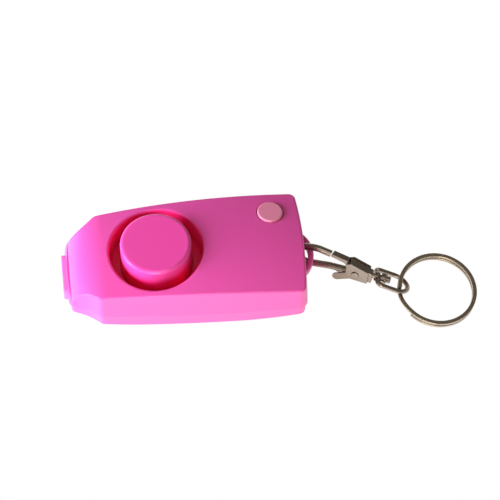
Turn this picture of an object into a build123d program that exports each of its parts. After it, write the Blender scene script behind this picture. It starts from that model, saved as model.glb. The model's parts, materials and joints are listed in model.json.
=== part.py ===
from build123d import *
from math import cos, pi, radians, sin, sqrt, tan
import os

# Personal safety alarm: a moulded two-part case with a big sprung alarm button in a deep
# finger well, a torch in the narrow end, and a pull pin that carries a trigger clasp, a
# swivel bail and a split ring.
# Origin: the middle of the flat on the back of the case, +X towards the pull pin, +Z up
# through the big button. All sizes are in millimetres and angles in degrees.

# Case, outline seen from above at the joint between the two shells
nose_x = -37.4
tail_x = 37.8
tail_bow = 1.2
tail_half_width = 18.7
side_bow = 0.9
shoulder_x = -27.4
shoulder_half_width = 15.9
scallop_depth = 0.75
nose_corner_x = -36.7
nose_half_width = 11.0
tail_corner_radius = 2.6
shoulder_radius = 3.0
nose_corner_radius = 2.2
draft_angle = 3.4

# Case, heights
joint_z = 6.9
crown_x = 2.5
crown_z = 19.3
crown_radius = 285.0
cross_crown_radius = 92.0
nose_slope_x = -24.9
ridge_x = -35.9
ridge_z = 10.6
ledge_z = 9.2
back_flat_start_x = -14.0
back_flat_end_x = 14.0
back_nose_rise = 2.1
back_tail_rise = 2.0
wall = 1.8
shell_step = 0.45
edge_round = 0.7
back_edge_round = 1.0
overrun = 6.0
fit_gap = 0.1
lip_height = 1.2
lip_thickness = 0.8

# Finger well and alarm button
well_x = -8.7
well_radius = 14.6
well_taper = 0.4
well_floor_radius = well_radius - well_taper
well_floor_z = 9.85
well_floor_thickness = 1.3
well_wall = 1.3
well_rim_round = 0.8
finger_gap = 3.14
alarm_button_radius = well_radius - well_taper - finger_gap
alarm_button_z = 21.9
alarm_button_round = 1.2
alarm_button_wall = 1.4
alarm_button_roof = 1.6
alarm_button_gap = 0.3
alarm_flange_reach = 1.54
alarm_flange_radius = alarm_button_radius + alarm_flange_reach
alarm_flange_thickness = 1.0
alarm_post_radius = 2.4
alarm_travel = 1.2

# Torch button
torch_button_x = 27.8
torch_button_y = 10.5
torch_button_radius = 4.0
torch_button_gap = 0.3
torch_button_proud = 0.55
torch_button_round = 0.5
torch_button_depth = 2.0
torch_flange_radius = 5.0
torch_flange_thickness = 0.7
torch_stem_radius = 1.4
torch_travel = 0.6

# Circuit board and what stands on it
board_z = 4.9
board_thickness = 1.0
board_nose_x = -30.0
board_tail_x = 31.2
board_inset = 0.25
switch_side = 6.0
switch_height = 3.5
switch_plunger_radius = 1.75
switch_plunger_height = 1.6
switch_bore_depth = 2.2
torch_switch_side = 4.5
torch_switch_height = 3.0
torch_plunger_radius = 1.1
torch_plunger_height = 1.2
torch_bore_depth = 1.4
plunger_gap = 0.05
coil_radius = 2.6
coil_gap = 0.2
coil_x = well_x - well_radius - well_wall - coil_radius - coil_gap
coil_height = 5.5
coil_flange = 0.8
coil_waist_radius = 2.3
chip_length = 4.0
chip_width = 5.0
chip_height = 1.3
chip_leg_width = 0.4
chip_leg_reach = 0.6
chip_leg_pitch = 1.27
chip_leg_count = 3
chip_leg_thickness = 0.2
small_part_length = 2.0
small_part_width = 1.25
small_part_height = 0.6
small_part_y = 12.9
small_part_pitch = 3.4
small_part_count = 5

# Return spring of the alarm button
spring_wire_radius = 0.4
spring_clearance = 1.46
spring_radius = alarm_button_radius - alarm_button_wall - spring_clearance
spring_turns = 5
spring_wire_sides = 8

# Siren
siren_radius = 13.2
chip_gap = 3.7
chip_x = well_x - siren_radius - chip_gap
siren_wall = 1.0
siren_height = 2.2
siren_floor = 0.5
siren_port_radius = 5.0
siren_disc_gap = 0.7
siren_disc_radius = siren_radius - siren_disc_gap
siren_disc_thickness = 0.25
siren_ceramic_inset = 3.5
siren_ceramic_radius = siren_disc_radius - siren_ceramic_inset
slot_count = 5
slot_width = 1.4
slot_length = 13.0
slot_pitch = 3.0
slot_shortening = 2.6

# Batteries and their door
battery_x = 17.0
battery_radius = 8.0
battery_thickness = 3.2
battery_count = 2
battery_rim = 0.5
battery_gap = 0.3
bay_wall = 1.2
bay_wall_z = 8.3
contact_thickness = 0.3
contact_width = 5.0
contact_foot = 2.2
door_thickness = 1.8
door_gap = 0.15
door_half_width = 10.2
door_start_x = 6.0
door_end_x = 31.0
door_corner_radius = 2.5
door_tongue_length = 1.6
door_tongue_half_width = 4.0
door_tongue_thickness = 0.7
door_tongue_gap = 0.15
door_grip_count = 4
door_grip_width = 0.7
door_grip_depth = 0.4
door_grip_pitch = 1.9
door_grip_length = 12.0
door_screw_x = 28.9
door_screw_radius = 0.8
door_screw_head_radius = 1.5
door_screw_head = 0.8
door_screw_length = 3.4
door_boss_radius = 1.8

# Case screws
screw_nose_x = -28.6
screw_nose_y = 9.4
screw_tail_x = 30.8
screw_tail_y = 14.2
screw_radius = 0.95
screw_head_radius = 1.8
screw_head = 1.1
screw_length = 10.0
screw_gap = 0.05
boss_radius = 2.5
board_post_offset = 8.75
screw_recess_radius = 2.1
screw_head_z = 3.4
drive_width = 0.5
drive_depth = 0.5

# Torch
led_count = 2
led_pitch = 7.0
led_z = 6.2
led_radius = 1.5
led_flange_radius = 1.9
led_flange_thickness = 1.0
led_length = 4.6
bezel_half_width = 7.7
bezel_half_height = 2.3
bezel_proud = 0.9
bezel_rim = 0.9
bezel_gap = 0.05
lens_thickness = 1.2
lens_recess = 0.5
lens_gap = 0.05

# Pocket and pull pin
pocket_x = 33.0
pocket_half_width = 8.6
pocket_low_z = 3.6
pocket_high_z = 12.4
pocket_wall = 1.3
loop_x = 40.5
loop_half_width = 7.9
loop_rim = 1.8
loop_height = 3.0
loop_z = 7.9
loop_bar = 1.5
loop_clearance = 0.35
loop_round = 0.8
loop_side_drop = 3.6
blade_width = 4.0
blade_thickness = 0.8
blade_tip_x = 28.1
blade_gap = 0.15
pin_contact_width = 3.0
pin_contact_length = 2.6
pin_contact_thickness = 0.3
pin_contact_gap = 0.05
pin_contact_x = 31.0
pin_contact_foot = 1.0

# Trigger clasp. Its own directions: out from the swivel towards the hook, and up from the
# middle of the swivel pin.
clasp_x = 59.38
clasp_y = -9.77
clasp_z = 7.17
clasp_heading = -24.7
clasp_pitch = -0.7
clasp_lean = -12.0
clasp_rear = 1.45
clasp_thickness = 2.5
hook_wire_radius = 1.1
hook_arm_start = 4.0
hook_arm_start_up = -0.55
hook_arm_out = 15.6
hook_arm_up = -1.3
hook_low_out = 25.1
hook_low_up = -3.1
hook_low_radius = 2.9
hook_high_out = 25.7
hook_high_up = 3.3
hook_high_radius = 2.5
hook_crest_out = 20.4
hook_crest_up = 4.75
hook_crest_radius = 8.0
hook_nose_out = 15.4
hook_nose_up = 3.95
rear_low = -2.6
rear_high = 1.25
spine_end = 9.1
spine_end_up = 3.55
body_front_up = -1.9
clasp_round = 0.35
rivet_out = 6.7
rivet_up = -0.35
rivet_radius = 0.8
rivet_head_radius = 1.2
rivet_head_height = 0.35
rivet_gap = 0.05
spring_pocket_radius = 1.9
spring_pocket_web = 0.8
gate_spring_radius = 1.35
gate_spring_wire_radius = 0.2
gate_spring_pitch = 0.85
gate_spring_turns = 1
plate_thickness = 0.45
plate_gap = 0.1
plate_rear = 2.6
plate_rear_low = -2.7
plate_rear_high = 1.9
plate_front = 9.9
plate_front_low = -2.6
plate_front_high = 3.75
plate_front_chamfer = 1.6
plate_neck_out = 9.7
plate_neck_up = 1.1
lobe_out = 12.6
lobe_up = -3.4
lobe_radius = 1.25
tongue_half_width = 1.0
tongue_thickness = 1.1
tongue_end_up = 4.9
tongue_start = 9.35
tongue_start_up = 3.75
tongue_gap = 0.25

# Swivel
stud_radius = 0.85
stud_seat = 3.4
stud_gap = 0.02
stud_head = -1.35
stud_collar_radius = 1.85
stud_collar_length = 1.7
stud_tip_radius = 1.15
stud_tip_length = 1.3
bail_heading = -13.8
bail_pitch = -22.6
bail_roll = -25.5
bail_width = 8.5
bail_length = 10.5
bail_wire_radius = 0.75
bail_corner_radius = 1.4
eye_radius = 1.6
eye_thickness = 1.2
eye_bore_radius = 1.25
eye_round = 0.3

# Split ring
ring_x = 77.9
ring_y = -14.04
ring_z = 3.07
ring_lean_x = 0.118
ring_lean_y = -0.091
ring_radius = 11.85
ring_wire_width = 1.3
ring_wire_height = 1.0
ring_coil_gap = 0.45
ring_jog_angle = 46.0
ring_jog_middle = 197.9
ring_edge_round = 0.25
ring_jog_parts = 8
full_turn = 360.0

os.makedirs("parts", exist_ok=True)


def keep(part, name):
    part.label = name
    export_step(part, f"parts/{name}.step")


# Outline of the case, moved inwards by one amount
def case_outline(inset):
    with BuildSketch() as outline:
        with BuildLine():
            tail_far = (tail_x - tail_bow, tail_half_width)
            tail_near = (tail_x - tail_bow, -tail_half_width)
            shoulder_far = (shoulder_x, shoulder_half_width)
            shoulder_near = (shoulder_x, -shoulder_half_width)
            nose_far = (nose_corner_x, nose_half_width)
            nose_near = (nose_corner_x, -nose_half_width)
            ThreePointArc(tail_near, (tail_x, 0), tail_far)
            SagittaArc(tail_far, shoulder_far, -side_bow)
            SagittaArc(shoulder_far, nose_far, scallop_depth)
            ThreePointArc(nose_far, (nose_x, 0), nose_near)
            SagittaArc(nose_near, shoulder_near, scallop_depth)
            SagittaArc(shoulder_near, tail_near, -side_bow)
        make_face()
        fillet(outline.vertices().sort_by(Axis.X)[:2], radius=nose_corner_radius)
        near_shoulder = outline.vertices().sort_by(lambda v: abs(v.X - shoulder_x))
        fillet(near_shoulder[:2], radius=shoulder_radius)
        fillet(outline.vertices().sort_by(Axis.X)[-2:], radius=tail_corner_radius)
        if inset:
            offset(amount=-inset, kind=Kind.INTERSECTION)
    if not inset:
        return outline.sketch
    with BuildSketch() as arcs:
        with BuildLine():
            for edge in outline.edges():
                ThreePointArc(edge @ 0, edge @ (1 / 2), edge @ 1)
        make_face()
    return arcs.sketch


# Drafted block between two heights: the walls lean in with distance from the joint line
def drafted_block(inset, low_z, high_z):
    lean = tan(radians(draft_angle))
    with BuildPart() as block:
        with BuildSketch(Plane.XY.offset(low_z)):
            add(case_outline(inset + lean * abs(low_z - joint_z)))
        with BuildSketch(Plane.XY.offset(high_z)):
            add(case_outline(inset + lean * abs(high_z - joint_z)))
        loft(ruled=True)
    return block.part


# Height of the crowned top on the middle line
def crown_height(x, depth=0):
    return crown_z - crown_radius + sqrt((crown_radius - depth) ** 2 - (x - crown_x) ** 2)


# Everything above the crowned top and the sloping nose: the line along the case is one
# long arc and one short one, and the section across it is a third arc
def above_the_top(depth):
    far_x = tail_x + overrun
    reach = tail_half_width + overrun
    cross_radius = cross_crown_radius - depth
    edge_drop = cross_radius - sqrt(cross_radius**2 - reach**2)
    start = (far_x, 0, crown_height(far_x, depth))
    middle = (crown_x, 0, crown_height(crown_x, depth))
    end = (nose_slope_x, 0, crown_height(nose_slope_x, depth))
    with BuildPart() as above:
        with BuildLine():
            crown = ThreePointArc(start, middle, end)
            nose = TangentArc(crown @ 1, (ridge_x, 0, ridge_z - depth), tangent=crown % 1)
            Line(nose @ 1, nose @ 1 + (nose % 1) * alarm_button_z)
        with BuildSketch(Plane(origin=start, x_dir=(0, -1, 0), z_dir=crown % 0)):
            with BuildLine():
                ThreePointArc((-reach, -edge_drop), (0, 0), (reach, -edge_drop))
                Polyline(
                    (reach, -edge_drop),
                    (reach, alarm_button_z),
                    (-reach, alarm_button_z),
                    (-reach, -edge_drop),
                )
            make_face()
        sweep()
    return above.part


# Everything below the rocker-shaped back: a flat in the middle and an arc up to each end
def below_the_back(height):
    low = -overrun
    reach = tail_half_width + overrun
    with BuildPart() as below:
        with BuildSketch(Plane.XZ):
            with BuildLine():
                flat = Line((back_flat_start_x, height), (back_flat_end_x, height))
                tail = TangentArc(flat @ 1, (tail_x, back_tail_rise + height), tangent=(1, 0))
                nose = TangentArc(flat @ 0, (nose_x, back_nose_rise + height), tangent=(-1, 0))
                Polyline(tail @ 1, (tail_x + overrun, back_tail_rise + height), (tail_x + overrun, low),
                         (nose_x - overrun, low), (nose_x - overrun, back_nose_rise + height), nose @ 1)
            make_face()
        extrude(amount=reach, both=True)
    return below.part


# Places that both shells share
nose_screws = [(screw_nose_x, side * screw_nose_y) for side in (-1, 1)]
tail_screws = [(screw_tail_x, side * screw_tail_y) for side in (-1, 1)]
screw_places = nose_screws + tail_screws
pocket_length = tail_x + overrun - pocket_x
pocket_middle_x = pocket_x + pocket_length / 2
floor_z = well_floor_z - well_floor_thickness
board_top_z = board_z + board_thickness
cell_low_z = door_thickness + contact_thickness
cell_high_z = cell_low_z + battery_count * battery_thickness
bay_radius = battery_radius + battery_gap
bay_outer_radius = bay_radius + bay_wall
pilot_radius = screw_radius + screw_gap
screw_tip_z = screw_head_z + screw_length

# The torch button stands square to the crown where it comes through
slope_x = (torch_button_x - crown_x) / crown_radius
slope_y = torch_button_y / cross_crown_radius
torch_surface_z = crown_height(torch_button_x) - cross_crown_radius + sqrt(
    cross_crown_radius**2 - torch_button_y**2
)
torch_axis = Vector(slope_x, slope_y, 1).normalized()
torch_plane = Plane(
    origin=(torch_button_x, torch_button_y, torch_surface_z), x_dir=(1, 0, -slope_x), z_dir=torch_axis
)
low_centre = (Align.CENTER, Align.CENTER, Align.MIN)
high_centre = (Align.CENTER, Align.CENTER, Align.MAX)


# Rounded window of the torch, as a prism through the end of the nose
def torch_window(grow, start_x, length):
    with BuildPart() as window:
        with BuildSketch(Plane(origin=(start_x, 0, led_z), x_dir=(0, 1, 0), z_dir=(1, 0, 0))):
            half_height = bezel_half_height + grow
            RectangleRounded(
                2 * (bezel_half_width + grow), 2 * half_height, radius=half_height - bezel_gap
            )
        extrude(amount=length)
    return window.part


# Upper case: crowned shell with the finger well, its pierced floor, the torch button's
# hole, four screw bosses and the upper half of the pull pin's pocket
with BuildPart() as upper_cavity:
    add(drafted_block(wall, joint_z, alarm_button_z))
    add(above_the_top(wall), mode=Mode.SUBTRACT)
    with Locations((well_x, 0, floor_z)):
        Cylinder(well_radius + well_wall, alarm_button_z, align=low_centre, mode=Mode.SUBTRACT)
    with Locations([(x, y, joint_z) for x, y in screw_places]):
        Cylinder(boss_radius, alarm_button_z, align=low_centre, mode=Mode.SUBTRACT)
    with Locations((pocket_middle_x - pocket_wall, 0, joint_z)):
        Box(
            pocket_length,
            2 * (pocket_half_width + pocket_wall),
            pocket_high_z + pocket_wall - joint_z,
            align=low_centre,
            mode=Mode.SUBTRACT,
        )

with BuildPart() as upper_case:
    add(drafted_block(0, joint_z, alarm_button_z))
    add(above_the_top(0), mode=Mode.SUBTRACT)
    high_edges = upper_case.edges().filter_by(lambda e: e.center().Z > ledge_z)
    long_edges = high_edges.filter_by(lambda e: e.length > tail_half_width)
    crease = long_edges.filter_by(lambda e: e.bounding_box().min.Z > joint_z + edge_round)
    fillet(crease, radius=edge_round)
    with Locations((ridge_x, 0, ledge_z)):
        Box(
            overrun,
            2 * tail_half_width,
            overrun,
            align=(Align.MAX, Align.CENTER, Align.MIN),
            mode=Mode.SUBTRACT,
        )
    add(upper_cavity.part, mode=Mode.SUBTRACT)
    with BuildSketch(Plane.XY.offset(well_floor_z)) as well_floor:
        with Locations((well_x, 0)):
            Circle(well_floor_radius)
    with BuildSketch(Plane.XY.offset(crown_z)) as well_rim:
        with Locations((well_x, 0)):
            Circle(well_radius)
    loft(mode=Mode.SUBTRACT, ruled=True)
    rim = upper_case.edges().filter_by(lambda e: e.bounding_box().size.Y > 2 * well_floor_radius + fit_gap)
    rim = rim.filter_by(lambda e: e.bounding_box().size.X < 2 * well_radius)
    fillet(rim.sort_by(lambda e: e.bounding_box().min.Z)[-1:], radius=well_rim_round)
    with Locations((well_x, 0, floor_z)):
        Cylinder(alarm_button_radius + alarm_button_gap, overrun, align=low_centre, mode=Mode.SUBTRACT)
    with Locations(torch_plane):
        Cylinder(torch_button_radius + torch_button_gap, overrun, mode=Mode.SUBTRACT)
    with Locations([(x, y, joint_z) for x, y in screw_places]):
        Cylinder(
            pilot_radius, screw_tip_z + screw_gap - joint_z, align=low_centre, mode=Mode.SUBTRACT
        )
    with Locations((pocket_middle_x, 0, joint_z)):
        Box(
            pocket_length,
            2 * pocket_half_width,
            pocket_high_z - joint_z,
            align=low_centre,
            mode=Mode.SUBTRACT,
        )
    with Locations((pocket_x, 0, loop_z)):
        Box(
            2 * pocket_wall + overrun,
            blade_width + 2 * blade_gap,
            blade_thickness + 2 * blade_gap,
            mode=Mode.SUBTRACT,
        )
    add(torch_window(bezel_gap, nose_x - overrun, 2 * overrun), mode=Mode.SUBTRACT)
keep(upper_case.part, "upper_case")


# Lower case: drafted shell with a rocker back, sound slots, a battery bay behind its door,
# screw bosses with deep recesses, board posts and the lower half of the pocket
door_middle_x = (door_start_x + door_end_x) / 2
door_length = door_end_x - door_start_x
inner_floor_z = wall
board_posts = [(screw_nose_x + board_post_offset, side * (siren_radius - siren_wall)) for side in (-1, 1)]


def door_outline(grow):
    with BuildSketch() as outline:
        with Locations((door_middle_x, 0)):
            RectangleRounded(door_length + 2 * grow, 2 * (door_half_width + grow), door_corner_radius)
    return outline.sketch


with BuildPart() as lower_cavity:
    add(drafted_block(wall, joint_z, 0))
    add(below_the_back(wall), mode=Mode.SUBTRACT)
    with BuildSketch():
        add(door_outline(bay_wall))
    extrude(amount=door_thickness + bay_wall, mode=Mode.SUBTRACT)
    with Locations([(x, y, 0) for x, y in screw_places]):
        Cylinder(boss_radius, joint_z, align=low_centre, mode=Mode.SUBTRACT)
    with Locations((door_screw_x, 0, 0)):
        Cylinder(door_boss_radius, board_z, align=low_centre, mode=Mode.SUBTRACT)
    with Locations((pocket_middle_x - pocket_wall, 0, 0)):
        Box(
            pocket_length,
            2 * (pocket_half_width + pocket_wall),
            joint_z,
            align=low_centre,
            mode=Mode.SUBTRACT,
        )
    with Locations([(x, y, 0) for x, y in board_posts]):
        Cylinder(door_boss_radius, board_z, align=low_centre, mode=Mode.SUBTRACT)

with BuildPart() as lower_case:
    add(drafted_block(shell_step, joint_z, 0))
    add(below_the_back(0), mode=Mode.SUBTRACT)
    under = lower_case.edges().filter_by(lambda e: e.bounding_box().max.Z < back_nose_rise + fit_gap)
    under = under.filter_by(GeomType.LINE, reverse=True)
    fillet(under, radius=back_edge_round)
    add(lower_cavity.part, mode=Mode.SUBTRACT)
    with BuildPart(mode=Mode.PRIVATE) as lip:
        add(drafted_block(wall + fit_gap, joint_z, joint_z + lip_height))
        add(drafted_block(wall - fit_gap, joint_z - lip_thickness, joint_z))
        add(
            drafted_block(wall + fit_gap + lip_thickness, joint_z - lip_thickness, joint_z + lip_height),
            mode=Mode.SUBTRACT,
        )
        Box(
            2 * (screw_tail_x - boss_radius - lip_height),
            2 * tail_half_width,
            2 * (joint_z + lip_height),
            mode=Mode.INTERSECT,
        )
    add(lip.part)
    with Locations((battery_x, 0, door_thickness)):
        Cylinder(bay_outer_radius, bay_wall_z - door_thickness, align=low_centre)
    with Locations((well_x, 0, inner_floor_z)):
        Cylinder(siren_radius + fit_gap + siren_wall, siren_wall, align=low_centre)
        Cylinder(siren_radius + fit_gap, siren_wall, align=low_centre, mode=Mode.SUBTRACT)
    with Locations((battery_x, 0, 0)):
        Cylinder(bay_radius, bay_wall_z, align=low_centre, mode=Mode.SUBTRACT)
    with BuildSketch():
        add(door_outline(door_gap))
    extrude(amount=door_thickness, mode=Mode.SUBTRACT)
    with Locations([(x, y, 0) for x, y in screw_places]):
        Cylinder(screw_recess_radius, screw_head_z, align=low_centre, mode=Mode.SUBTRACT)
        Cylinder(screw_recess_radius, screw_head_z, align=high_centre, mode=Mode.SUBTRACT)
        Cylinder(pilot_radius, joint_z + overrun, align=low_centre, mode=Mode.SUBTRACT)
    with Locations((door_screw_x, 0, 0)):
        Cylinder(door_screw_radius + screw_gap, board_z, align=low_centre, mode=Mode.SUBTRACT)
    with Locations((pocket_middle_x, 0, pocket_low_z)):
        Box(pocket_length, 2 * pocket_half_width, joint_z, align=low_centre, mode=Mode.SUBTRACT)
    add(torch_window(bezel_gap, nose_x - overrun, 2 * overrun), mode=Mode.SUBTRACT)
    tongue_low_z = (door_thickness - door_tongue_thickness) / 2
    with Locations((door_start_x, 0, tongue_low_z - door_tongue_gap)):
        Box(
            door_tongue_length + door_tongue_gap,
            2 * (door_tongue_half_width + door_tongue_gap),
            door_tongue_thickness + 2 * door_tongue_gap,
            align=(Align.MAX, Align.CENTER, Align.MIN),
            mode=Mode.SUBTRACT,
        )
    with BuildSketch(Plane.XY.offset(-overrun)):
        for index in range(slot_count):
            from_middle = index - (slot_count - 1) / 2
            with Locations((well_x + from_middle * slot_pitch, 0)):
                SlotOverall(slot_length - slot_shortening * abs(from_middle), slot_width, rotation=90)
    extrude(amount=overrun + inner_floor_z, mode=Mode.SUBTRACT)
    leg_notch_width = contact_width + 2 * fit_gap
    with Locations((battery_x, bay_radius - fit_gap, board_top_z - fit_gap)):
        Box(
            leg_notch_width,
            bay_wall + overrun / 2,
            bay_wall_z,
            align=(Align.CENTER, Align.MIN, Align.MIN),
            mode=Mode.SUBTRACT,
        )
    with Locations((battery_x, battery_radius - battery_rim, cell_low_z - contact_thickness)):
        Box(
            leg_notch_width,
            bay_radius - battery_radius + battery_rim + contact_thickness + fit_gap,
            bay_wall_z,
            align=(Align.CENTER, Align.MIN, Align.MIN),
            mode=Mode.SUBTRACT,
        )
keep(lower_case.part, "lower_case")


# Battery door: follows the back, hooks under the floor with a tongue, grip grooves across
with BuildPart() as battery_door:
    with BuildSketch():
        add(door_outline(0))
    extrude(amount=door_thickness)
    add(below_the_back(0), mode=Mode.SUBTRACT)
    with Locations((door_start_x, 0, tongue_low_z)):
        Box(
            2 * door_tongue_length,
            2 * door_tongue_half_width,
            door_tongue_thickness,
            align=(Align.CENTER, Align.CENTER, Align.MIN),
        )
    grip_places = [(door_start_x + (index + 1) * door_grip_pitch, 0, 0) for index in range(door_grip_count)]
    with Locations(grip_places):
        Box(door_grip_width, door_grip_length, door_grip_depth, align=low_centre, mode=Mode.SUBTRACT)
    door_head_z = door_thickness - door_screw_head / 2 - screw_gap
    with Locations((door_screw_x, 0, 0)):
        Cylinder(door_screw_radius + screw_gap, door_thickness, align=low_centre, mode=Mode.SUBTRACT)
        Cylinder(door_screw_head_radius + screw_gap, door_head_z, align=low_centre, mode=Mode.SUBTRACT)
keep(battery_door.part, "battery_door")


# Cross-recess screw standing head down on one point
def draw_screw(radius, head_radius, head_height, length):
    Cylinder(head_radius, head_height, align=high_centre)
    Cylinder(radius, length, align=low_centre)


with BuildPart() as door_screw:
    with Locations((door_screw_x, 0, door_head_z)):
        draw_screw(door_screw_radius, door_screw_head_radius, door_screw_head, door_screw_length)
    with Locations((door_screw_x, 0, door_head_z - door_screw_head)):
        Box(drive_width, 2 * door_screw_radius, drive_depth, align=low_centre, mode=Mode.SUBTRACT)
        Box(2 * door_screw_radius, drive_width, drive_depth, align=low_centre, mode=Mode.SUBTRACT)
keep(door_screw.part, "battery_door_screw")

with BuildPart() as case_screws:
    with Locations([(x, y, screw_head_z) for x, y in screw_places]):
        draw_screw(screw_radius, screw_head_radius, screw_head, screw_length)
    with Locations([(x, y, screw_head_z - screw_head) for x, y in screw_places]):
        Box(drive_width, 2 * screw_radius, drive_depth, align=low_centre, mode=Mode.SUBTRACT)
        Box(2 * screw_radius, drive_width, drive_depth, align=low_centre, mode=Mode.SUBTRACT)
keep(case_screws.part, "case_screws")


# Alarm button: hollow cap with a flange under the well's floor and a post for the switch
switch_top_z = board_top_z + switch_height
alarm_plunger_z = switch_top_z + switch_plunger_height
flange_top_z = floor_z - plunger_gap
flange_low_z = flange_top_z - alarm_flange_thickness
roof_z = alarm_button_z - alarm_button_roof
with BuildPart() as alarm_button:
    with Locations((well_x, 0, flange_low_z)):
        Cylinder(alarm_button_radius, alarm_button_z - flange_low_z, align=low_centre)
    fillet(alarm_button.edges().sort_by(Axis.Z)[-1], radius=alarm_button_round)
    with Locations((well_x, 0, flange_low_z)):
        Cylinder(alarm_flange_radius, alarm_flange_thickness, align=low_centre)
        Cylinder(
            alarm_button_radius - alarm_button_wall,
            roof_z - flange_low_z,
            align=low_centre,
            mode=Mode.SUBTRACT,
        )
    with Locations((well_x, 0, alarm_plunger_z)):
        Cylinder(alarm_post_radius, roof_z - alarm_plunger_z, align=low_centre)
keep(alarm_button.part, "alarm_button")

with BuildPart() as alarm_switch:
    with Locations((well_x, 0, board_top_z)):
        Box(switch_side, switch_side, switch_height, align=low_centre)
    fillet(alarm_switch.edges().filter_by(Axis.Z), radius=drive_width)
    with Locations((well_x, 0, switch_top_z)):
        Cylinder(
            switch_plunger_radius + plunger_gap, switch_bore_depth, align=high_centre, mode=Mode.SUBTRACT
        )
keep(alarm_switch.part, "alarm_switch")

with BuildPart() as alarm_plunger:
    with Locations((well_x, 0, alarm_plunger_z)):
        Cylinder(
            switch_plunger_radius,
            switch_plunger_height + switch_bore_depth - alarm_travel - plunger_gap,
            align=high_centre,
        )
keep(alarm_plunger.part, "alarm_switch_plunger")

# Return spring: an open coil from the board up to the button's roof
spring_low_z = board_top_z + spring_wire_radius
spring_pitch = (roof_z - spring_low_z - spring_wire_radius) / spring_turns
with BuildPart() as alarm_spring:
    with BuildLine(Location((well_x, 0, spring_low_z))):
        coil = Helix(pitch=spring_pitch, height=spring_pitch * spring_turns, radius=spring_radius)
    with BuildSketch(Plane(origin=coil @ 0, z_dir=coil % 0)):
        RegularPolygon(spring_wire_radius, spring_wire_sides)
    sweep(is_frenet=True)
keep(alarm_spring.part, "alarm_button_spring")
print("alarm spring, least gap between turns:", round(spring_pitch - 2 * spring_wire_radius, 2), "mm")


# Torch button, square to the crown, with a flange under the shell and a stem to its switch
torch_switch_top_z = board_top_z + torch_switch_height
torch_plunger_z = torch_switch_top_z + torch_plunger_height
stem_length = (torch_surface_z - torch_plunger_z) / torch_axis.Z
torch_foot = torch_plane.origin - torch_axis * stem_length
with BuildPart() as torch_button:
    with BuildSketch(torch_plane.offset(-torch_button_depth)):
        Circle(torch_flange_radius)
    extrude(amount=-torch_flange_thickness)
    with Locations([(x, y, joint_z) for x, y in tail_screws]):
        Cylinder(boss_radius + torch_button_gap, 2 * joint_z, align=low_centre, mode=Mode.SUBTRACT)
    with BuildSketch(torch_plane.offset(torch_button_proud)):
        Circle(torch_button_radius)
    extrude(amount=-torch_button_proud - torch_button_depth)
    top_edge = torch_button.edges().filter_by(GeomType.CIRCLE).sort_by(Axis.Z)[-1]
    fillet(top_edge, radius=torch_button_round)
    with BuildSketch(torch_plane.offset(-torch_button_depth)):
        Circle(torch_stem_radius)
    extrude(amount=torch_button_depth - stem_length + torch_stem_radius * slope_y * 2)
keep(torch_button.part, "torch_button")

with BuildPart() as torch_switch:
    with Locations((torch_foot.X, torch_foot.Y, board_top_z)):
        Box(torch_switch_side, torch_switch_side, torch_switch_height, align=low_centre)
    fillet(torch_switch.edges().filter_by(Axis.Z), radius=drive_width)
    with BuildSketch(Plane(origin=torch_foot, x_dir=torch_plane.x_dir, z_dir=torch_axis)):
        Circle(torch_plunger_radius + plunger_gap * 2)
    extrude(amount=-torch_plunger_height - torch_bore_depth, mode=Mode.SUBTRACT)
keep(torch_switch.part, "torch_switch")

with BuildPart() as torch_plunger:
    with BuildSketch(Plane(origin=torch_foot, x_dir=torch_plane.x_dir, z_dir=torch_axis)):
        Circle(torch_plunger_radius)
    extrude(amount=torch_travel + plunger_gap - torch_plunger_height - torch_bore_depth)
keep(torch_plunger.part, "torch_switch_plunger")


# Circuit board: follows the case, with a round gap for the battery bay, clearance for the
# bosses and notches for the screws of the door
with BuildPart() as circuit_board:
    with BuildSketch(Plane.XY.offset(board_z)):
        add(case_outline(wall + board_inset))
        with Locations((board_nose_x, 0)):
            Rectangle(
                overrun * 2, 2 * tail_half_width, align=(Align.MAX, Align.CENTER), mode=Mode.SUBTRACT
            )
        with Locations((board_tail_x, 0)):
            Rectangle(
                overrun * 2, 2 * tail_half_width, align=(Align.MIN, Align.CENTER), mode=Mode.SUBTRACT
            )
        with Locations((battery_x, 0)):
            Circle(bay_outer_radius + battery_gap, mode=Mode.SUBTRACT)
        with Locations(screw_places):
            Circle(boss_radius + battery_gap, mode=Mode.SUBTRACT)
    extrude(amount=board_thickness)
keep(circuit_board.part, "circuit_board")

with BuildPart() as siren_coil:
    with BuildSketch(Plane.XZ):
        with BuildLine():
            Polyline(
                (0, board_top_z),
                (coil_radius, board_top_z),
                (coil_radius, board_top_z + coil_flange),
                (coil_waist_radius, board_top_z + coil_flange),
                (coil_waist_radius, board_top_z + coil_height - coil_flange),
                (coil_radius, board_top_z + coil_height - coil_flange),
                (coil_radius, board_top_z + coil_height),
                (0, board_top_z + coil_height),
                close=True,
            )
        make_face()
    revolve(axis=Axis.Z)
siren_coil.part.locate(Location((coil_x, 0, 0)))
keep(siren_coil.part, "siren_coil")

with BuildPart() as control_chip:
    with Locations((chip_x, 0, board_z)):
        Box(chip_length, chip_width, chip_height, align=high_centre)
    with Locations((chip_x, 0, board_z)):
        with GridLocations(chip_leg_pitch, chip_width + chip_leg_reach, chip_leg_count, 2):
            Box(chip_leg_width, chip_leg_reach, chip_leg_thickness, align=high_centre)
keep(control_chip.part, "control_chip")

with BuildPart() as board_components:
    row_x = well_x + siren_disc_radius / 3
    with Locations((row_x - small_part_pitch * small_part_count / 4, 0, board_z)):
        with GridLocations(small_part_pitch, 2 * small_part_y, small_part_count, 2):
            Box(small_part_length, small_part_width, small_part_height, align=high_centre)
keep(board_components.part, "board_components")


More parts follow.
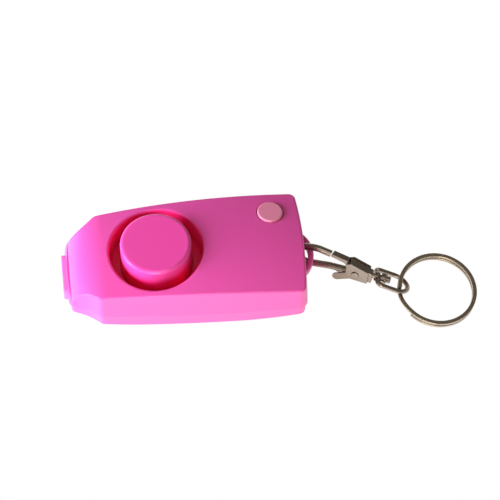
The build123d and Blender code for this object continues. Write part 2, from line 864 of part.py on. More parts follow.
# Siren: shallow chamber over the sound slots and a brass disc with its ceramic face
with BuildPart() as siren_chamber:
    with Locations((well_x, 0, inner_floor_z)):
        Cylinder(siren_radius, siren_height, align=low_centre)
    with Locations((well_x, 0, inner_floor_z + siren_floor)):
        Cylinder(siren_radius - siren_wall, siren_height, align=low_centre, mode=Mode.SUBTRACT)
    with Locations((well_x, 0, inner_floor_z)):
        Cylinder(siren_port_radius, siren_floor, align=low_centre, mode=Mode.SUBTRACT)
keep(siren_chamber.part, "siren_chamber")

with BuildPart() as siren_disc:
    with Locations((well_x, 0, inner_floor_z + siren_height)):
        Cylinder(siren_disc_radius, siren_disc_thickness, align=low_centre)
    with Locations((well_x, 0, inner_floor_z + siren_height + siren_disc_thickness)):
        Cylinder(siren_ceramic_radius, siren_disc_thickness, align=low_centre)
keep(siren_disc.part, "siren_disc")


# Coin cells in their bay, each with the stepped can of the real thing, and their contacts
with BuildPart() as battery_cells:
    for index in range(battery_count):
        with Locations((battery_x, 0, cell_low_z + index * battery_thickness)):
            Cylinder(battery_radius - battery_rim, battery_rim, align=low_centre)
        with Locations((battery_x, 0, cell_low_z + index * battery_thickness + battery_rim)):
            Cylinder(battery_radius, battery_thickness - battery_rim - fit_gap, align=low_centre)
keep(battery_cells.part, "battery_cells")

cell_top_z = cell_high_z - fit_gap
contact_leg_y = bay_outer_radius + battery_gap
with BuildPart() as contact_top:
    with BuildSketch(Plane.YZ.offset(battery_x - contact_width / 2)):
        with BuildLine():
            Polyline(
                (battery_radius / 2, cell_top_z),
                (-contact_leg_y, cell_top_z),
                (-contact_leg_y, board_top_z),
                (-contact_leg_y - contact_foot, board_top_z),
                (-contact_leg_y - contact_foot, board_top_z + contact_thickness),
                (-contact_leg_y - contact_thickness, board_top_z + contact_thickness),
                (-contact_leg_y - contact_thickness, cell_top_z + contact_thickness),
                (battery_radius / 2, cell_top_z + contact_thickness),
                close=True,
            )
        make_face()
    extrude(amount=contact_width)
keep(contact_top.part, "battery_contact_top")

leg_y = bay_radius
with BuildPart() as contact_bottom:
    with Locations((battery_x, 0, door_thickness)):
        Cylinder(battery_radius - battery_rim, contact_thickness, align=low_centre)
    with Locations((battery_x, 0, door_thickness)):
        Box(
            contact_width,
            leg_y + contact_thickness,
            contact_thickness,
            align=(Align.CENTER, Align.MIN, Align.MIN),
        )
    with Locations((battery_x, leg_y, door_thickness)):
        Box(
            contact_width,
            contact_thickness,
            board_top_z + contact_thickness - door_thickness,
            align=(Align.CENTER, Align.MIN, Align.MIN),
        )
    with Locations((battery_x, leg_y, board_top_z)):
        Box(
            contact_width,
            bay_wall + battery_gap + contact_foot,
            contact_thickness,
            align=(Align.CENTER, Align.MIN, Align.MIN),
        )
keep(contact_bottom.part, "battery_contact_bottom")


# Torch: two lamps on the end of the board, a proud bezel and its clear window
with BuildPart() as torch_leds:
    lamp_face = Plane(origin=(board_nose_x - fit_gap, 0, led_z), x_dir=(0, 1, 0), z_dir=(-1, 0, 0))
    with BuildSketch(lamp_face):
        with GridLocations(led_pitch, led_pitch, led_count, 1):
            Circle(led_flange_radius)
    extrude(amount=led_flange_thickness)
    with BuildSketch(lamp_face):
        with GridLocations(led_pitch, led_pitch, led_count, 1):
            Circle(led_radius)
    extrude(amount=led_length)
    fillet(torch_leds.edges().group_by(Axis.X)[0], radius=led_radius - fit_gap)
keep(torch_leds.part, "torch_leds")

bezel_start_x = nose_x - bezel_proud
bezel_length = bezel_proud + wall + bezel_gap
with BuildPart() as torch_bezel:
    add(torch_window(0, bezel_start_x, bezel_length))
    front = torch_bezel.edges().group_by(Axis.X)[0]
    fillet(front, radius=bezel_rim / 2)
    add(torch_window(-bezel_rim, bezel_start_x - overrun, 2 * overrun), mode=Mode.SUBTRACT)
keep(torch_bezel.part, "torch_bezel")

with BuildPart() as torch_lens:
    add(torch_window(-bezel_rim - lens_gap, bezel_start_x + lens_recess, lens_thickness))
    fillet(torch_lens.edges().group_by(Axis.X)[0], radius=lens_recess / 2)
keep(torch_lens.part, "torch_lens")


# Pull pin: flat D-shaped loop with a thin blade, and the two leaves that the blade parts
loop_start_x = pocket_x + loop_clearance
loop_side_x = loop_x - loop_side_drop
with BuildPart() as pull_pin:
    with BuildSketch(Plane.XY.offset(loop_z - loop_height / 2)) as loop_outline:
        with BuildLine():
            ThreePointArc((loop_side_x, -loop_half_width), (loop_x, 0), (loop_side_x, loop_half_width))
            Polyline(
                (loop_side_x, loop_half_width),
                (loop_start_x, loop_half_width),
                (loop_start_x, -loop_half_width),
                (loop_side_x, -loop_half_width),
            )
        make_face()
        fillet(loop_outline.vertices(), radius=loop_round)
        with BuildSketch(Plane.XY.offset(loop_z - loop_height / 2), mode=Mode.PRIVATE) as loop_hole:
            with BuildLine():
                hole_half = loop_half_width - loop_rim
                hole_side_x = loop_side_x - loop_rim / 2
                ThreePointArc((hole_side_x, -hole_half), (loop_x - loop_rim, 0), (hole_side_x, hole_half))
                Polyline(
                    (hole_side_x, hole_half),
                    (loop_start_x + loop_bar, hole_half),
                    (loop_start_x + loop_bar, -hole_half),
                    (hole_side_x, -hole_half),
                )
            make_face()
            fillet(loop_hole.vertices(), radius=loop_round)
        add(loop_hole.sketch, mode=Mode.SUBTRACT)
    extrude(amount=loop_height)
    rims = pull_pin.edges().filter_by(Plane.XY)
    fillet(rims, radius=loop_round - fit_gap)
    with Locations((loop_start_x + loop_bar / 2, 0, loop_z)):
        Box(
            loop_start_x + loop_bar / 2 - blade_tip_x,
            blade_width,
            blade_thickness,
            align=(Align.MAX, Align.CENTER, Align.CENTER),
        )
    tip = pull_pin.edges().group_by(Axis.X)[0].filter_by(Axis.Y)
    chamfer(tip, length=blade_thickness / 4)
keep(pull_pin.part, "pull_pin")

leaf_gap = blade_thickness / 2 + pin_contact_gap
with BuildPart() as pin_contacts:
    for side, low in ((1, loop_z + leaf_gap), (-1, loop_z - leaf_gap - pin_contact_thickness)):
        with Locations((pin_contact_x - pin_contact_length, 0, low)):
            Box(
                pin_contact_length,
                pin_contact_width + 2 * blade_width * (1 if side > 0 else 0) / 2,
                pin_contact_thickness,
                align=(Align.MIN, Align.CENTER, Align.MIN),
            )
    leg_height_low = loop_z - leaf_gap - board_top_z
    with Locations((pin_contact_x - pin_contact_length, 0, board_top_z)):
        Box(
            pin_contact_thickness,
            pin_contact_width,
            leg_height_low,
            align=(Align.MIN, Align.CENTER, Align.MIN),
        )
    leg_height_high = loop_z + leaf_gap + pin_contact_thickness - board_top_z
    leg_middle = (pin_contact_width + blade_width - pin_contact_foot) / 2
    with Locations(
        (pin_contact_x - pin_contact_length, -leg_middle, board_top_z),
        (pin_contact_x - pin_contact_length, leg_middle, board_top_z),
    ):
        Box(
            pin_contact_length,
            pin_contact_foot,
            leg_height_high,
            align=(Align.MIN, Align.CENTER, Align.MIN),
        )
keep(pin_contacts.part, "pin_contacts")


# Frame of a hanging piece: its length points outwards, its side leans over
def leaning_frame(place, heading, pitch, lean):
    turn, rise, roll = radians(heading), radians(pitch), radians(lean)
    along = Vector(cos(turn) * cos(rise), sin(turn) * cos(rise), sin(rise))
    level = Vector(-sin(turn), cos(turn), 0)
    side = level * cos(roll) + along.cross(level) * sin(roll)
    return place, along, side


# Clasp pieces are drawn flat: out towards the hook, up across it, the rivet standing square
place, along, side = leaning_frame((clasp_x, clasp_y, clasp_z), clasp_heading, clasp_pitch, clasp_lean)
clasp_place = Plane(origin=place, x_dir=-along, z_dir=side).location
nose_reach = Vector(hook_nose_out - rivet_out, hook_nose_up - rivet_up).length
half_web = clasp_thickness / 2
plate_low = half_web + plate_gap
plate_high = plate_low + plate_thickness

# Hook: round bar bent over at the end, growing out of a flat web
with BuildPart() as clasp_hook:
    with BuildSketch() as web_outline:
        with BuildLine():
            Polyline(
                (clasp_rear, rear_low),
                (clasp_rear, rear_high),
                (spine_end, spine_end_up),
                (spine_end, body_front_up),
                close=True,
            )
        make_face()
        fillet(web_outline.vertices(), radius=clasp_round)
    extrude(amount=half_web, both=True)
    fillet(clasp_hook.edges().filter_by(Plane.XY), radius=clasp_round / 2)
    with BuildLine() as hook_line:
        FilletPolyline(
            (hook_arm_start, hook_arm_start_up),
            (hook_arm_out, hook_arm_up),
            (hook_low_out, hook_low_up),
            (hook_high_out, hook_high_up),
            (hook_crest_out, hook_crest_up),
            (hook_nose_out, hook_nose_up),
            radius=(hook_crest_radius, hook_low_radius, hook_high_radius, hook_crest_radius),
        )
    bar_start = Vector(hook_arm_start, hook_arm_start_up)
    bar_heading = Vector(hook_arm_out, hook_arm_up) - bar_start
    with BuildSketch(Plane(origin=bar_start, z_dir=bar_heading)):
        Circle(hook_wire_radius)
    sweep(path=hook_line.line)
    with BuildSketch():
        with Locations((rivet_out, rivet_up)):
            Circle(nose_reach)
        with Locations((tongue_start, hook_wire_radius)):
            Rectangle(overrun * 2, overrun * 2, align=(Align.MIN, Align.MIN), mode=Mode.INTERSECT)
    extrude(amount=half_web, both=True, mode=Mode.SUBTRACT)
    with Locations((rivet_out, rivet_up)):
        Cylinder(rivet_radius + rivet_gap, clasp_thickness, mode=Mode.SUBTRACT)
    with Locations((rivet_out, rivet_up, spring_pocket_web - half_web)):
        Cylinder(spring_pocket_radius, clasp_thickness, align=low_centre, mode=Mode.SUBTRACT)
    with BuildSketch(Plane.YZ):
        Circle(stud_radius + stud_gap)
    extrude(amount=stud_seat, mode=Mode.SUBTRACT)
clasp_hook.part.locate(clasp_place)
keep(clasp_hook.part, "clasp_hook")

# Gate: two plates over the web with a thumb lobe, joined by the tongue that meets the hook
with BuildPart() as clasp_gate:
    with BuildSketch(Plane.XY.offset(plate_low)):
        with BuildLine():
            Polyline(
                (plate_rear, plate_rear_low),
                (plate_rear, plate_rear_high),
                (plate_front - plate_front_chamfer, plate_front_high),
                (plate_front, plate_front_high - plate_front_chamfer / 2),
                (plate_neck_out, plate_neck_up),
                (plate_neck_out, plate_front_low),
                close=True,
            )
        make_face()
        with BuildSketch(Plane.XY.offset(plate_low), mode=Mode.PRIVATE) as lobe:
            with Locations((lobe_out, lobe_up)):
                Circle(lobe_radius)
            with Locations((plate_neck_out - lobe_radius, plate_front_low + lobe_radius)):
                Circle(lobe_radius)
            make_hull(mode=Mode.REPLACE)
        add(lobe.sketch)
        with Locations((rivet_out, rivet_up)):
            Circle(rivet_radius + rivet_gap, mode=Mode.SUBTRACT)
    extrude(amount=plate_thickness)
    mirror(about=Plane.XY)
    with BuildSketch():
        with BuildLine():
            Polyline(
                (tongue_start, plate_neck_up + tongue_gap),
                (tongue_start, plate_front_high - plate_front_chamfer / 2),
                (plate_front, plate_front_high - plate_front_chamfer / 2),
                (plate_neck_out, plate_neck_up + tongue_gap),
                close=True,
            )
        make_face()
    extrude(amount=plate_high, both=True)
    with BuildSketch():
        with Locations((rivet_out, rivet_up)):
            Circle(nose_reach - tongue_gap)
        with BuildLine():
            Polyline(
                (tongue_start, tongue_start_up - 2 * tongue_thickness),
                (tongue_start, tongue_start_up),
                (hook_nose_out, tongue_end_up),
                (hook_nose_out, tongue_end_up - tongue_thickness),
                (plate_front + tongue_thickness, tongue_start_up - tongue_thickness),
                close=True,
            )
        make_face(mode=Mode.INTERSECT)
    extrude(amount=tongue_half_width, both=True)
clasp_gate.part.locate(clasp_place)
keep(clasp_gate.part, "clasp_gate")

with BuildPart() as clasp_rivet:
    with Locations((rivet_out, rivet_up)):
        Cylinder(rivet_radius, 2 * (plate_high + rivet_gap))
        with Locations((0, 0, plate_high + rivet_gap)):
            Cylinder(rivet_head_radius, rivet_head_height, align=low_centre)
        with Locations((0, 0, -plate_high - rivet_gap)):
            Cylinder(rivet_head_radius, rivet_head_height, align=high_centre)
    head_rims = clasp_rivet.edges().group_by(Axis.Z)
    fillet(head_rims[0] + head_rims[-1], radius=rivet_head_height - rivet_gap)
clasp_rivet.part.locate(clasp_place)
keep(clasp_rivet.part, "clasp_rivet")

gate_spring_low = spring_pocket_web - half_web + gate_spring_wire_radius + stud_gap
with BuildPart() as gate_spring:
    with BuildLine(Location((rivet_out, rivet_up, gate_spring_low))):
        loop = Helix(
            pitch=gate_spring_pitch, height=gate_spring_pitch * gate_spring_turns, radius=gate_spring_radius
        )
    with BuildSketch(Plane(origin=loop @ 0, z_dir=loop % 0)):
        Circle(gate_spring_wire_radius)
    sweep(is_frenet=True)
gate_spring.part.locate(clasp_place)
keep(gate_spring.part, "clasp_gate_spring")
gate_spring_gap = gate_spring_pitch - 2 * gate_spring_wire_radius
print("gate spring, least gap between turns:", round(gate_spring_gap, 2), "mm")


# Swivel: stud through the eye of the bail, with a turned collar and tip
with BuildPart() as swivel_stud:
    with BuildSketch() as stud_profile:
        with BuildLine():
            Polyline(
                (stud_seat, 0),
                (stud_seat, stud_radius),
                (stud_head, stud_radius),
                (stud_head, stud_collar_radius),
                (stud_head - stud_collar_length, stud_collar_radius),
                (stud_head - stud_collar_length, stud_tip_radius),
                (stud_head - stud_collar_length - stud_tip_length, stud_tip_radius),
                (stud_head - stud_collar_length - stud_tip_length, 0),
                close=True,
            )
        make_face()
        rims = stud_profile.vertices().group_by(Axis.Y)
        fillet(rims[-1], radius=clasp_round)
        fillet(stud_profile.vertices().filter_by(lambda v: v.Y > 0).sort_by(Axis.X)[0], radius=clasp_round)
    revolve(axis=Axis.X)
swivel_stud.part.locate(clasp_place)
keep(swivel_stud.part, "swivel_stud")

bail_place, bail_along, bail_side = leaning_frame(place, bail_heading, bail_pitch, bail_roll)
half_bail = bail_width / 2
with BuildPart() as swivel_bail:
    with BuildLine() as bail_line:
        FilletPolyline(
            (bail_length - half_bail, -half_bail),
            (0, -half_bail),
            (0, half_bail),
            (bail_length - half_bail, half_bail),
            radius=bail_corner_radius,
        )
        ThreePointArc(
            (bail_length - half_bail, half_bail), (bail_length, 0), (bail_length - half_bail, -half_bail)
        )
    with BuildSketch(Plane(origin=(bail_length - half_bail, -half_bail), z_dir=(-1, 0, 0))):
        Circle(bail_wire_radius)
    sweep(path=bail_line.line)
    with BuildSketch(Plane.YZ.offset(-eye_thickness / 2)):
        Circle(eye_radius)
    extrude(amount=eye_thickness)
    rims = swivel_bail.edges().filter_by(GeomType.CIRCLE)
    eye_rims = rims.filter_by(lambda e: abs(e.radius - eye_radius) < stud_gap)
    fillet(eye_rims, radius=eye_round)
    with BuildSketch(Plane.YZ):
        Circle(eye_bore_radius)
    extrude(amount=eye_thickness, both=True, mode=Mode.SUBTRACT)
bail_plane = Plane(origin=bail_place, x_dir=bail_along, z_dir=bail_along.cross(bail_side))
swivel_bail.part.locate(bail_plane.location)
keep(swivel_bail.part, "swivel_bail")


# Split ring: two flat turns of bar side by side, joined by a short climbing step
def ring_section(angle, height):
    turn = radians(angle)
    outward = Vector(cos(turn), sin(turn))
    return Plane(
        origin=outward * ring_radius + Vector(0, 0, height),
        x_dir=outward,
        z_dir=(-sin(turn), cos(turn), 0),
    )


ring_rise = (ring_wire_height + ring_coil_gap) / 2
step_end = ring_jog_middle + ring_jog_angle / 2
turn_angle = full_turn - ring_jog_angle
with BuildPart() as split_ring:
    for angle, height in ((step_end, -ring_rise), (step_end, ring_rise)):
        with BuildSketch(ring_section(angle, height)):
            RectangleRounded(ring_wire_width, ring_wire_height, ring_edge_round)
        revolve(axis=Axis.Z, revolution_arc=turn_angle)
    for index in range(ring_jog_parts + 1):
        part_way = 2 * index / ring_jog_parts - 1
        angle = ring_jog_middle + part_way * ring_jog_angle / 2
        with BuildSketch(ring_section(angle, ring_rise * sin(radians(part_way * full_turn / 4)))):
            RectangleRounded(ring_wire_width, ring_wire_height, ring_edge_round)
    loft()
ring_normal = Vector(ring_lean_x, ring_lean_y, 1).normalized()
ring_across = Vector(1, 0, 0) - ring_normal * ring_normal.X
ring_plane = Plane(origin=(ring_x, ring_y, ring_z), x_dir=ring_across, z_dir=ring_normal)
split_ring.part.locate(ring_plane.location)
keep(split_ring.part, "split_ring")
print("split ring, gap between turns:", ring_coil_gap, "mm")
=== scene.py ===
# %% [markdown]
# # A personal safety alarm, looked at in the studio
# The packed model gives the shape and how it moves. This lesson gives it its surfaces, a return spring
# in place of the model's rigid one, soft light and a camera. Lengths are in metres.

import json
import math

import bmesh
import bpy
from mathutils import Matrix, Vector


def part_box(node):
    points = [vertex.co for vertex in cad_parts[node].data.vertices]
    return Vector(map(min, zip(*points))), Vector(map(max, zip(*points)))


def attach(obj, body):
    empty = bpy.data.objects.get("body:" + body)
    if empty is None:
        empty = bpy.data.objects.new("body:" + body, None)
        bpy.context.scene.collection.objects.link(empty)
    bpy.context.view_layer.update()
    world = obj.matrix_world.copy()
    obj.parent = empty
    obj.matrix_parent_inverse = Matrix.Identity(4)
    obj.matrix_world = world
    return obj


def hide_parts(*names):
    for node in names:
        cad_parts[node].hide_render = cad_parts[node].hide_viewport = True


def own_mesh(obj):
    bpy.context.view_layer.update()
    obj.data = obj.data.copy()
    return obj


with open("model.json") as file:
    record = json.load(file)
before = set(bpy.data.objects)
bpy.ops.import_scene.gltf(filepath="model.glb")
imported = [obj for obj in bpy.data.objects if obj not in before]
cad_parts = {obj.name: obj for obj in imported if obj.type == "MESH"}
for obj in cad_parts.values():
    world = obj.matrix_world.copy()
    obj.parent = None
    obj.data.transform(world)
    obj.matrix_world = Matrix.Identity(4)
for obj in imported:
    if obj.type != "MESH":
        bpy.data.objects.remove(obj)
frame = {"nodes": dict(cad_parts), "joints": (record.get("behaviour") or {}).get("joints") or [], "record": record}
nodes = frame["nodes"]
slot_of_node = {part["node"]: part["material_slot"] for part in frame["record"]["subparts"]}


# %% [markdown]
# ## A small language for surfaces
# A value wraps a socket of a node tree, so that sums and products of values read as arithmetic and
# still become nodes.


# %%
class Value:
    """A socket of one node tree, with arithmetic."""

    def __init__(self, tree, socket):
        self.tree = tree
        self.socket = socket

    def _math(self, operation, other):
        node = self.tree.nodes.new("ShaderNodeMath")
        node.operation = operation
        put(self.tree, node.inputs[0], self)
        put(self.tree, node.inputs[1], other)
        return Value(self.tree, node.outputs[0])

    def __add__(self, other):
        return self._math("ADD", other)

    def __sub__(self, other):
        return self._math("SUBTRACT", other)

    def __mul__(self, other):
        return self._math("MULTIPLY", other)

    def above(self, other):
        return self._math("GREATER_THAN", other)

    def fade(self, start, end):
        """0 up to start and 1 from end on, even in between."""
        node = self.tree.nodes.new("ShaderNodeMapRange")
        put(self.tree, node.inputs["Value"], self)
        put(self.tree, node.inputs["From Min"], start)
        put(self.tree, node.inputs["From Max"], end)
        return Value(self.tree, node.outputs[0])


def put(tree, target, what):
    """Links a value to an input, or sets the input to a number or a colour."""
    if isinstance(what, Value):
        tree.links.new(what.socket, target)
    elif target.type == "RGBA":
        target.default_value = (*what, 1.0)
    else:
        target.default_value = what


# A mix node has its factor and colours at these places, after the sockets of the other data types.
MIX_COLOUR_INPUTS = (0, 6, 7)
MIX_COLOUR_OUTPUT = 2


class Surface:
    """One material: a Principled surface, and the procedural values that feed it."""

    def __init__(self, name):
        self.material = bpy.data.materials.new(name)
        self.material.use_nodes = True
        self.tree = self.material.node_tree
        self.tree.nodes.clear()
        self.shader = self.tree.nodes.new("ShaderNodeBsdfPrincipled")
        output = self.tree.nodes.new("ShaderNodeOutputMaterial")
        self.tree.links.new(self.shader.outputs[0], output.inputs[0])
        self.place = self.node("ShaderNodeTexCoord", "Object")

    def node(self, kind, output, **inputs):
        """Adds a node of a kind, fills its inputs and gives the value of one output."""
        node = self.tree.nodes.new(kind)
        for name, what in inputs.items():
            put(self.tree, node.inputs[name], what)
        return Value(self.tree, node.outputs[output])

    def noise(self, scale, detail=3.0, stretch=(1.0, 1.0, 1.0)):
        stretched = self.node("ShaderNodeMapping", "Vector", Vector=self.place, Scale=stretch)
        return self.node("ShaderNodeTexNoise", 0, Vector=stretched, Scale=scale, Detail=detail)

    def rings(self, scale, distortion):
        return self.node("ShaderNodeTexWave", "Fac", Vector=self.place, Scale=scale, Distortion=distortion)

    def along(self, axis):
        return self.node("ShaderNodeSeparateXYZ", axis, Vector=self.place)

    def mix(self, factor, first, second):
        node = self.tree.nodes.new("ShaderNodeMix")
        node.data_type = "RGBA"
        for place, what in zip(MIX_COLOUR_INPUTS, (factor, first, second)):
            put(self.tree, node.inputs[place], what)
        return Value(self.tree, node.outputs[MIX_COLOUR_OUTPUT])

    def bump(self, height, strength, distance):
        return self.node("ShaderNodeBump", "Normal", Height=height, Strength=strength, Distance=distance)

    def set(self, **inputs):
        for name, what in inputs.items():
            put(self.tree, self.shader.inputs[name.replace("_", " ")], what)
        return self.material


def linear(red, green, blue):
    """Screen colour, 0 to 255, as the linear light that a shader takes."""
    shares = [channel / 255 for channel in (red, green, blue)]
    return tuple(s / 12.92 if s <= 0.04045 else ((s + 0.055) / 1.055) ** 2.4 for s in shares)


def shade(colour, share):
    return tuple(channel * share for channel in colour)


print("surface helpers:", ", ".join(name for name in vars(Surface) if not name.startswith("_")))


# %% [markdown]
# ## Moulded plastic
# Injection-moulded ABS is nearly even in colour. What tells it from paint is a faint orange peel under
# a clear gloss, and a roughness that drifts slowly over the part. In the finger well the light bounces
# from pink to pink. The deep red this leaves on its walls and on the foot of the button is painted shade in the
# colour.

# %%
# Painted shade: the deep red that bounced light leaves in the finger well is put into the base colour.
painted_well_shade = (0.86, 0.008, 0.11)
well_x = sum(corner.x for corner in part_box("alarm_button")) / 2
well_radius = 0.0146
well_shade_fade = (well_radius - 0.0002, well_radius + 0.0006)
foot_shade_fade = (0.015, 0.0185)


# Mask of the painted shade: 0 inside the finger well, 1 outside it.
def outside_well_shade(surface):
    x = surface.along("X") - well_x
    y = surface.along("Y")
    return (x * x + y * y).fade(*(radius**2 for radius in well_shade_fade))


# Mask of the painted shade on the button: 0 at its foot, rising to 1 up its side.
def above_foot_shade(surface):
    return surface.along("Z").fade(*foot_shade_fade)


def moulded(name, colour, roughness=0.36, coat=0.12, lit=None):
    """Plastic in one colour. Where lit falls to 0, the colour turns to the painted red shade of the well, without
    gloss.
    """
    surface = Surface(name)
    drift = surface.noise(45.0, 2.0)
    peel = surface.noise(2600.0, 2.0)
    base = surface.mix(drift, colour, shade(colour, 0.97))
    # Painted shade: the well's red is mixed into the base colour, and the coat is taken away, where lit is 0.
    if lit:
        open_to_light = lit(surface)
        base = surface.mix(open_to_light, painted_well_shade, base)
        coat = open_to_light * coat
    return surface.set(
        Base_Color=base,
        Roughness=drift * 0.04 + roughness,
        Coat_Weight=coat,
        Coat_Roughness=0.08,
        Normal=surface.bump(peel, 0.05, 0.00004),
    )


plastics = {
    "case_shell": moulded("case_shell", (0.75, 0.07, 0.29), lit=outside_well_shade),
    "button_pink": moulded("button_pink", (0.82, 0.058, 0.29), 0.28, 0.25, above_foot_shade),
    "torch_button_pink": moulded("torch_button_pink", (0.8, 0.225, 0.31), 0.3, 0.2),
    "bezel_pink": moulded("bezel_pink", (0.8, 0.17, 0.46), 0.34, 0.15),
    "inner_plastic": moulded("inner_plastic", linear(38, 38, 41), 0.5, 0.0),
    "component_black": moulded("component_black", linear(30, 30, 33), 0.55, 0.0),
    "switch_black": moulded("switch_black", linear(34, 34, 37), 0.5, 0.0),
}
print("plastics:", ", ".join(plastics))

# %% [markdown]
# ## Metal
# Each metal is clouded by handling and finely scratched. The clasp and the ring are scratched along
# their length, which the stretch of the noise gives.


# %%
def metal(name, colour, roughness, drawn=(1.0, 1.0, 1.0), scratch=0.06):
    surface = Surface(name)
    cloud = surface.noise(160.0, 4.0)
    lines = surface.noise(900.0, 3.0, drawn)
    return surface.set(
        Base_Color=surface.mix(cloud, colour, shade(colour, 0.85)),
        Metallic=1.0,
        Roughness=cloud * 0.1 + roughness,
        Normal=surface.bump(lines, scratch, 0.00003),
    )


metals = {
    "clasp_nickel": metal("clasp_nickel", (0.34, 0.275, 0.21), 0.24, (1.0, 8.0, 1.0), 0.08),
    "ring_nickel": metal("ring_nickel", (0.47, 0.38, 0.27), 0.2, (1.0, 1.0, 12.0), 0.05),
    "coil_copper": metal("coil_copper", linear(196, 120, 72), 0.3),
    "disc_brass": metal("disc_brass", linear(222, 190, 112), 0.28),
    "cell_steel": metal("cell_steel", linear(214, 216, 220), 0.24),
    "contact_steel": metal("contact_steel", linear(206, 206, 208), 0.26),
    "screw_steel": metal("screw_steel", linear(186, 188, 192), 0.3),
    "spring_steel": metal("spring_steel", linear(190, 192, 196), 0.25),
}
print("metals:", ", ".join(metals))

# %% [markdown]
# ## Board, lamps and lens
# The board shows its tracks as lighter, raised bands under green solder mask. The lamps and the lens are
# clear moulded acrylic. With these, every node has its surface.


# %%
def solder_mask(name):
    surface = Surface(name)
    tracks = surface.rings(240.0, 3.0).above(0.82)
    return surface.set(
        Base_Color=surface.mix(tracks, linear(12, 84, 44), linear(38, 124, 66)),
        Roughness=surface.noise(300.0) * 0.1 + 0.35,
        Normal=surface.bump(tracks, 0.3, 0.00003),
    )


def clear(name, colour, roughness):
    surface = Surface(name)
    return surface.set(
        Base_Color=surface.mix(surface.noise(220.0), colour, shade(colour, 0.97)),
        Roughness=surface.noise(500.0) * 0.04 + roughness,
        Transmission_Weight=0.9,
        IOR=1.49,
    )


materials = {
    **plastics,
    **metals,
    "board": solder_mask("board"),
    "lamp_clear": clear("lamp_clear", linear(236, 240, 248), 0.06),
    "lens_clear": clear("lens_clear", linear(240, 242, 246), 0.04),
}
for name, node in nodes.items():
    node.data.materials.clear()
    node.data.materials.append(materials[slot_of_node[name]])
print("surfaces:", len(materials), "on nodes:", len(nodes))

# %% [markdown]
# ## The return spring
# The coil under the alarm button has to shorten when the button goes down. The model's own spring is
# rigid, so a coil of the same size, swept from a formula, takes its place; it rides with the case and keeps its
# length.

# %%
coil_wire_radius = 0.0004
coil_turns = 5
coil_steps = 40
coil_sides = 10


def new_object(name, shape, material):
    """Turns a bmesh into an object of the scene, in one material."""
    mesh = bpy.data.meshes.new(name)
    shape.to_mesh(mesh)
    shape.free()
    mesh.materials.append(material)
    item = bpy.data.objects.new(name, mesh)
    bpy.context.scene.collection.objects.link(item)
    return item


def coil(name, low, high, material):
    """A round wire wound into a box, standing up."""
    wire = coil_wire_radius
    middle = (low + high) / 2
    radius = (high.x - low.x) / 2 - wire
    last = coil_turns * coil_steps
    shape = bmesh.new()
    rings = []
    for index in range(last + 1):
        angle = 2 * math.pi * index / coil_steps
        outward = Vector((math.cos(angle), math.sin(angle), 0.0))
        height = low.z + wire + (high.z - low.z - 2 * wire) * index / last
        centre = Vector((middle.x, middle.y, height)) + outward * radius
        ring = []
        for side in range(coil_sides):
            turn = 2 * math.pi * side / coil_sides
            across = outward * wire * math.cos(turn)
            ring.append(shape.verts.new(centre + across + Vector((0.0, 0.0, wire * math.sin(turn)))))
        rings.append(ring)
    for first, second in zip(rings, rings[1:]):
        for side in range(coil_sides):
            after = (side + 1) % coil_sides
            shape.faces.new((first[side], second[side], second[after], first[after]))
    shape.faces.new(rings[0])
    shape.faces.new(reversed(rings[-1]))
    bmesh.ops.recalc_face_normals(shape, faces=shape.faces)
    for face in shape.faces:
        face.smooth = True
    return new_object(name, shape, material)


press = next(joint for joint in frame["joints"] if joint["name"] == "alarm_press")
travel = max(press["range_m"])
spring_low, spring_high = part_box("alarm_button_spring")
return_coil = coil("return_coil", spring_low, spring_high, materials["spring_steel"])
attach(return_coil, "case")
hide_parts("alarm_button_spring")
1 - travel / (spring_high.z - spring_low.z)
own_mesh(return_coil)
print("return coil shortens by", round(travel * 1000, 2), "mm")

# %% [markdown]
# ## Floor and cards
# The picture is a cut-out on pure white, so the floor lights and blocks light but isn't seen, and a
# keyring that swings below it isn't cut off. Dark cards, also unseen, give the metal its contrast.


# %%
def facing(axis, place, aim):
    """The turn that points an object's own axis from its place at the aim."""
    return (Vector(aim) - Vector(place)).to_track_quat(axis, "Y")


def paper(name, colour, roughness, glow=0.0):
    surface = Surface(name)
    return surface.set(
        Base_Color=surface.mix(surface.noise(6.0), colour, shade(colour, 0.99)),
        Roughness=surface.noise(40.0) * 0.05 + roughness,
        Emission_Color=(glow, glow, glow),
        Emission_Strength=1.0,
    )


def card(name, size, place, aim, material):
    """A square that faces its aim and that only light sees."""
    shape = bmesh.new()
    bmesh.ops.create_grid(shape, x_segments=1, y_segments=1, size=size / 2)
    turn = facing("Z", place, aim).to_matrix().to_4x4()
    bmesh.ops.transform(shape, matrix=Matrix.Translation(place) @ turn, verts=shape.verts)
    item = new_object(name, shape, material)
    item.visible_camera = False
    return item


pale = paper("floor_paper", (0.93, 0.93, 0.93), 0.6, 0.55)
dark = paper("dark_card", (0.16, 0.14, 0.11), 0.9)
clasp_place = (0.05, 0.0, 0.0)
cards = [
    card("floor", 6.0, (0.0, 0.0, 0.0), (0.0, 0.0, 1.0), pale),
    card("dark_far", 0.9, (0.05, 0.75, 0.45), clasp_place, dark),
    card("dark_over", 0.35, (0.1, 0.3, 0.8), clasp_place, dark),
]
print("cards:", ", ".join(item.name for item in cards))

# %% [markdown]
# ## Light
# One broad light low at the front brightens the near wall, one at the left the nose, and a weaker one
# hangs overhead. The left light is split: the strong half lights the plastic, and the weak half is the
# one that gloss mirrors. Around it all is white for the camera and a dim room for everything else.


# %%
def soft_light(name, place, aim, size, power, colour):
    light = bpy.data.lights.new(name, "AREA")
    light.shape = "SQUARE"
    light.size = size
    light.energy = power
    light.color = colour
    item = bpy.data.objects.new(name, light)
    item.location = place
    item.rotation_euler = facing("-Z", place, aim).to_euler()
    bpy.context.scene.collection.objects.link(item)
    return item


def surroundings(tree, colour, strength):
    node = tree.nodes.new("ShaderNodeBackground")
    put(tree, node.inputs["Color"], colour)
    put(tree, node.inputs["Strength"], strength)
    return node.outputs[0]


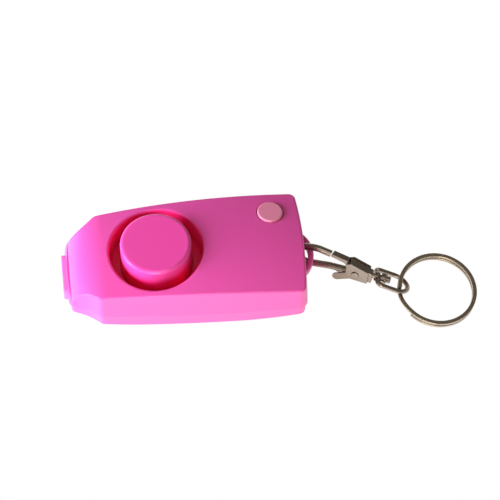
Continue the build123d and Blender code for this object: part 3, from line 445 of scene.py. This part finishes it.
left_place = (-0.75, -0.12, 0.26)
nose_place = (-0.02, 0.0, 0.01)
front = soft_light("front", (-0.1, -0.8, 0.2), (0.0, 0.0, 0.005), 0.4, 3.1, (1.0, 0.92, 0.96))
left = soft_light("left", left_place, nose_place, 0.35, 15.0, (0.9, 1.05, 1.32))
left.visible_glossy = False
glint = soft_light("glint", left_place, nose_place, 0.35, 5.0, (0.95, 1.0, 1.1))
glint.visible_diffuse = False
above = soft_light("above", (0.0, -0.45, 0.8), (0.02, 0.0, 0.0), 0.5, 1.4, (1.0, 1.0, 1.0))

world = bpy.data.worlds.new("studio")
bpy.context.scene.world = world
world.use_nodes = True
tree = world.node_tree
tree.nodes.clear()
path = tree.nodes.new("ShaderNodeLightPath")
chosen = tree.nodes.new("ShaderNodeMixShader")
output = tree.nodes.new("ShaderNodeOutputWorld")
tree.links.new(path.outputs["Is Camera Ray"], chosen.inputs[0])
tree.links.new(surroundings(tree, (0.96, 0.94, 0.92), 0.2), chosen.inputs[1])
tree.links.new(surroundings(tree, (1.0, 1.0, 1.0), 1.0), chosen.inputs[2])
tree.links.new(chosen.outputs[0], output.inputs[0])
print("lights:", ", ".join(item.name for item in (front, left, glint, above)))

# %% [markdown]
# ## Camera
# A long lens looks down at 57 degrees from in front and slightly to the left, as the picture was taken.
# One sight line through the middle of the picture is enough to place it.

# %%
sight = Vector((0.098, 1.0, -1.577)).normalized()
middle = Vector((0.02073, 0.00204, 0.010))
distance = 0.9
pixels_per_metre = 3200.0
picture_pixels = 500.0
sensor_width = 36.0
camera_data = bpy.data.cameras.new("camera")
camera_data.sensor_width = sensor_width
camera_data.lens = sensor_width * pixels_per_metre * distance / picture_pixels
camera_data.clip_start = 0.05
camera_data.clip_end = 20.0
camera = bpy.data.objects.new("camera", camera_data)
camera.location = middle - sight * distance
camera.rotation_euler = sight.to_track_quat("-Z", "Y").to_euler()
bpy.context.scene.collection.objects.link(camera)

scene = bpy.context.scene
scene.camera = camera
scene.render.engine = "CYCLES"
scene.cycles.samples = 96
scene.cycles.use_denoising = True
scene.render.resolution_x = 1000
scene.render.resolution_y = 1000
scene.view_settings.view_transform = "Standard"
print("lens:", round(camera_data.lens, 1), "mm")

# %% [markdown]
